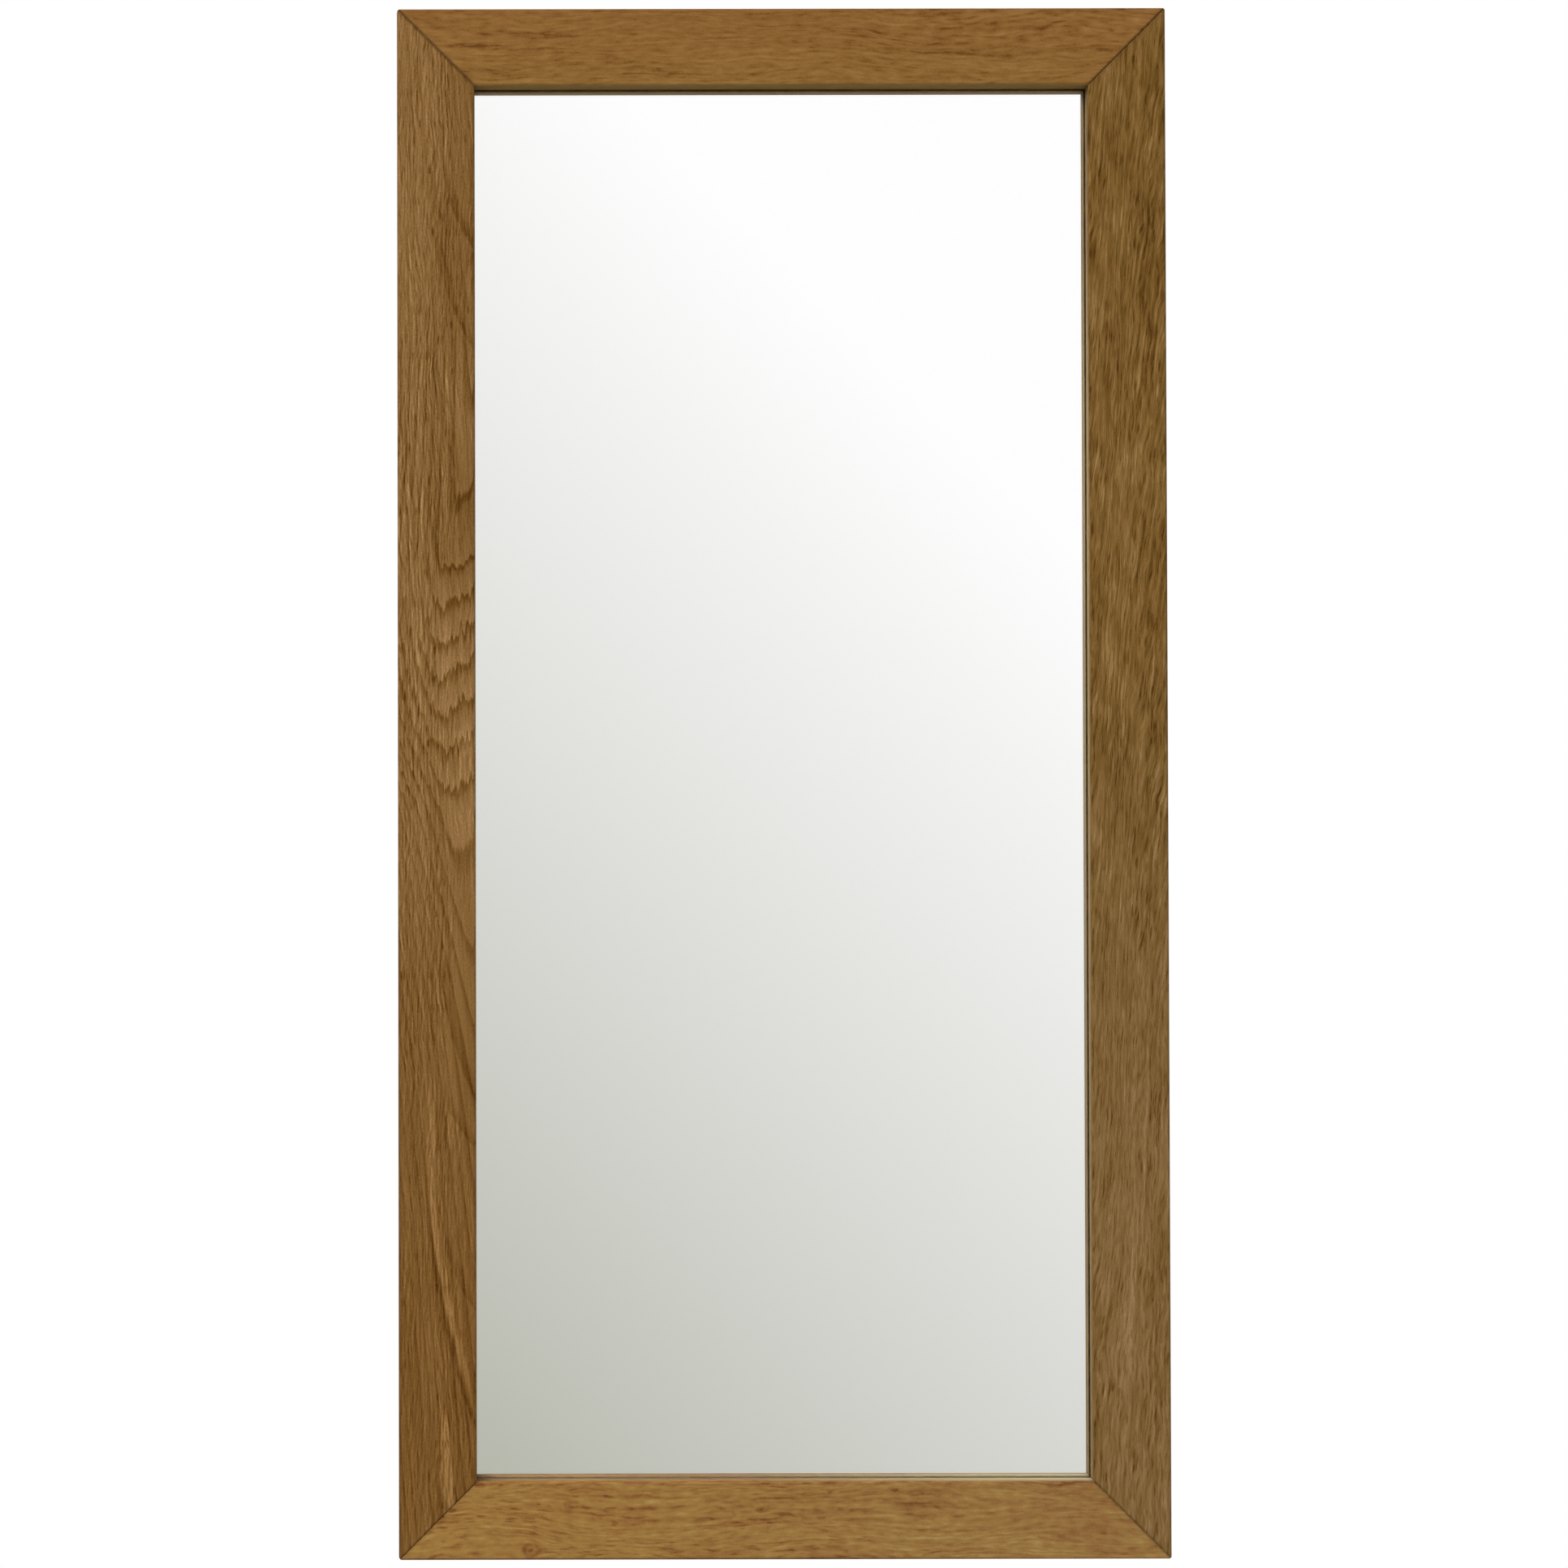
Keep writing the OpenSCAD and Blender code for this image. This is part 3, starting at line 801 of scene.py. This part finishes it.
LIP_GAP = 0.03 * MM
PANE_ARRIS = 0.5 * MM
COAT_INSET = 0.6 * MM
COAT_BITE = 0.02 * MM
COAT_ARRIS = 0.005 * MM


def glass_and_silver():
    """The pane ends just short of the lip in front of it, and the silver lies just inside its back."""
    low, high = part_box("mirror_glass")
    pane = sheet_with_arrises("mirror_pane", low + Vector((0, LIP_GAP, 0)), high, PANE_ARRIS, pane_glass())
    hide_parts("mirror_glass")
    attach(pane, "frame")
    low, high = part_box("silver_coating")
    low = low + Vector((COAT_INSET, -COAT_BITE, COAT_INSET))
    high = high - Vector((COAT_INSET, 0, COAT_INSET))
    coat = sheet_with_arrises("silver_coat", low, high, COAT_ARRIS, silvering())
    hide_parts("silver_coating")
    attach(coat, "frame")


glass_and_silver()

SCREW_COLUMNS = 64
TOP_ROWS = 26
CROWN_ROWS = 6
SHANK_ROWS = 120
# How far the top of the head is domed, as a share of its height
DOME = 0.12
CROWN_R = 0.8 * MM
RECESS_REACH = 2.3 * MM
RECESS_HALF = 0.42 * MM
# A slot of the recess flares to this times its half width, and its walls take this share of the flare
RECESS_FLARE = 1.4
RECESS_WALL = 0.4
RECESS_END_SLOPE = 2.2
RECESS_DEPTH = 1.5 * MM
SHANK_R = 2.0 * MM
THREAD_PITCH = 1.8 * MM
THREAD_DEPTH = 0.55 * MM
THREAD_SHARPNESS = 3
THREAD_START = 1.5 * MM
THREAD_RUN_IN = 1.0 * MM
TIP_LENGTH = 4 * MM
TIP_ROUNDING = 0.7
STRAP_SHEET = 2.0 * MM


def recess_slot(off):
    """1 along the middle of a slot of the recess and 0 past its sloping walls, by the distance off it."""
    return np.clip(1 - np.abs(off) / RECESS_HALF / RECESS_FLARE, 0, RECESS_WALL) / RECESS_WALL


def screw_points(head_r, head_h, length, turn):
    """A pan-head wood screw on the Y axis, its seat at y = 0 and its tip at y = -length.

    Rows run from the middle of the head over its crown and under it, then down the shank to the tip. The
    cross recess lowers the head where a point is near either of two crossed lines. The thread is a
    sharp ridge whose height depends on the distance along the screw minus the turn times the pitch.
    """
    angle = np.linspace(0, 2 * np.pi, SCREW_COLUMNS, endpoint=False) + turn
    top_r = np.linspace(0, head_r - CROWN_R, TOP_ROWS)
    top_y = head_h - DOME * head_h * (top_r / head_r) ** 2
    crown = np.linspace(0, np.pi / 2, CROWN_ROWS + 1)[1:]
    crown_r = head_r - CROWN_R + CROWN_R * np.sin(crown)
    crown_y = top_y[-1] - CROWN_R * (1 - np.cos(crown))
    shank_y = np.linspace(0, -length, SHANK_ROWS)
    radius = np.concatenate((top_r, crown_r, (head_r, SHANK_R), np.full(SHANK_ROWS, SHANK_R)))
    height = np.concatenate((top_y, crown_y, (0.0, 0.0), shank_y))
    row = np.arange(len(radius))[:, None]
    radius = radius[:, None] + 0 * angle
    height = height[:, None] + 0 * angle
    slots = np.maximum(recess_slot(radius * np.cos(angle - turn)), recess_slot(radius * np.sin(angle - turn)))
    inside = np.clip((RECESS_REACH - radius) / RECESS_REACH * RECESS_END_SLOPE, 0, 1)
    height = height - (row < TOP_ROWS) * slots * inside * RECESS_DEPTH
    ridge = np.abs(((height / THREAD_PITCH - angle / (2 * np.pi)) % 1) - 0.5) * 2
    threaded = np.clip((-height - THREAD_START) / THREAD_RUN_IN, 0, 1)
    taper = np.clip((height + length) / TIP_LENGTH, 0, 1) ** TIP_ROUNDING
    cut = THREAD_DEPTH * threaded * (1 - ridge ** THREAD_SHARPNESS)
    radius = np.where(row >= len(radius) - SHANK_ROWS, (radius - cut) * taper, radius)
    return np.stack((radius * np.cos(angle), height, radius * np.sin(angle)), axis=-1)


def hanger_screws(side, turns):
    """Both screws of one hanger, as large as the CAD node says and turned as the driver left them."""
    low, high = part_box(f"{side}_hanger_screws")
    seat_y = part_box(f"{side}_hanger_strap")[0].y + STRAP_SHEET
    head_r = (high.x - low.x) / 2
    points, faces = [], []
    for z, turn in zip((high.z - head_r, low.z + head_r), turns):
        screw = screw_points(head_r, high.y - seat_y, seat_y - low.y, turn)
        screw += np.array(((low.x + high.x) / 2, seat_y, z))
        start = sum(len(p) for p in points)
        faces.append(grid_faces(*screw.shape[:2], start))
        points.append(screw.reshape(-1, 3))
    name = f"{side}_pan_head_screws"
    screws = piece(name, np.vstack(points), np.vstack(faces), SCREW_STEEL, smooth=True)
    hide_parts(f"{side}_hanger_screws")
    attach(screws, "frame")


hanger_screws("left", (0.3, 1.1))
hanger_screws("right", (0.9, 0.1))


# Floor, world and lamps

FLOOR_Z = -1.5
FLOOR_R = 2.0
FLOOR_ROWS = 12
FLOOR_COLUMNS = 96
# Where the floor starts to fade and where it is gone, as shares of its radius
FADE_START = 0.35
FADE_END = 0.98


def lay_floor():
    """A pale round floor that fades out before it reaches the part of the room that the camera sees."""
    angle = np.linspace(0, 2 * np.pi, FLOOR_COLUMNS, endpoint=False)
    radius = np.linspace(0, FLOOR_R, FLOOR_ROWS)[:, None]
    level = np.full((FLOOR_ROWS, FLOOR_COLUMNS), FLOOR_Z)
    flat = np.stack((radius * np.cos(angle), radius * np.sin(angle), level), axis=-1)
    f = Finish("floor", Roughness=0.9, Specular_IOR_Level=0.1)
    mottle = f.noise(f.x / 300, f.y / 300, 0.0, detail=3.0)
    f.paint(f.tones(0.5 + mottle * 0.1, (0.0, (0.84, 0.84, 0.83, 1)), (1.0, (0.9, 0.9, 0.9, 1))))
    from_middle = f.root(f.x * f.x + f.y * f.y)
    clear = f.step(from_middle, FADE_START * FLOOR_R / MM, FADE_END * FLOOR_R / MM)
    see_through = f.nodes.new("ShaderNodeBsdfTransparent").outputs[0]
    both = f.node("ShaderNodeMixShader", {0: clear, 1: f.shader.outputs[0], 2: see_through})
    f.links.new(both.outputs[0], f.nodes["Material Output"].inputs[0])
    floor = piece("floor", flat, grid_faces(FLOOR_ROWS, FLOOR_COLUMNS), f.material)


# How bright the room is on matt surfaces, and what shines back from gloss: white towards +X and up, and
# grey-green towards -X and down, which makes the mirror palest at its upper right
ROOM_LEVEL = 0.48
WHITE = (1.0, 1.0, 1.0, 1.0)
DIM_ROOM = (0.47, 0.475, 0.41, 1)
GRADIENT_SLANT = (0.98, 0.0, 1.0)
GRADIENT_START = -0.30
GRADIENT_END = 0.376


def light_room():
    """A plain room: white to the camera, an even level on matt surfaces, and a gradient in gloss and glass.

    The gradient depends on the direction of a ray, by how much of the slant it has.
    """
    world = bpy.data.worlds.new("room")
    bpy.context.scene.world = world
    world.use_nodes = True
    room = Nodes(world.node_tree)
    direction = room.nodes.new("ShaderNodeTexCoord").outputs["Generated"]
    ray = room.nodes.new("ShaderNodeLightPath").outputs
    slope = room.node("ShaderNodeVectorMath", {0: direction, 1: GRADIENT_SLANT}, operation="DOT_PRODUCT")
    reach = {"Value": slope.outputs["Value"], "From Min": GRADIENT_START, "From Max": GRADIENT_END}
    share = room.node("ShaderNodeMapRange", reach)
    shine = room.mix(share.outputs[0], DIM_ROOM, WHITE)
    matt = (ROOM_LEVEL, ROOM_LEVEL, ROOM_LEVEL, 1.0)
    glossy = room.mix(ray["Is Glossy Ray"], matt, shine)
    through = room.mix(ray["Is Transmission Ray"], glossy, shine)
    seen = room.mix(ray["Is Camera Ray"], through, WHITE)
    room.links.new(seen, room.nodes["Background"].inputs["Color"])


def hang_lamp(name, place, size, watts):
    """A square soft lamp that faces the middle of the mirror."""
    light = bpy.data.lights.new(name, "AREA")
    light.size = size
    light.energy = watts
    lamp = bpy.data.objects.new(name, light)
    lamp.location = place
    lamp.rotation_euler = (-Vector(place)).to_track_quat("-Z", "Y").to_euler()
    lamp.visible_camera = False
    bpy.context.scene.collection.objects.link(lamp)


lay_floor()
light_room()
hang_lamp("key_lamp", (-3.0, -2.4, 3.6), 2.0, 240)
hang_lamp("fill_lamp", (3.4, -3.0, 1.2), 2.5, 38)
hang_lamp("back_lamp", (1.8, 3.6, 2.6), 2.5, 170)

bpy.context.scene.view_settings.view_transform = "Standard"
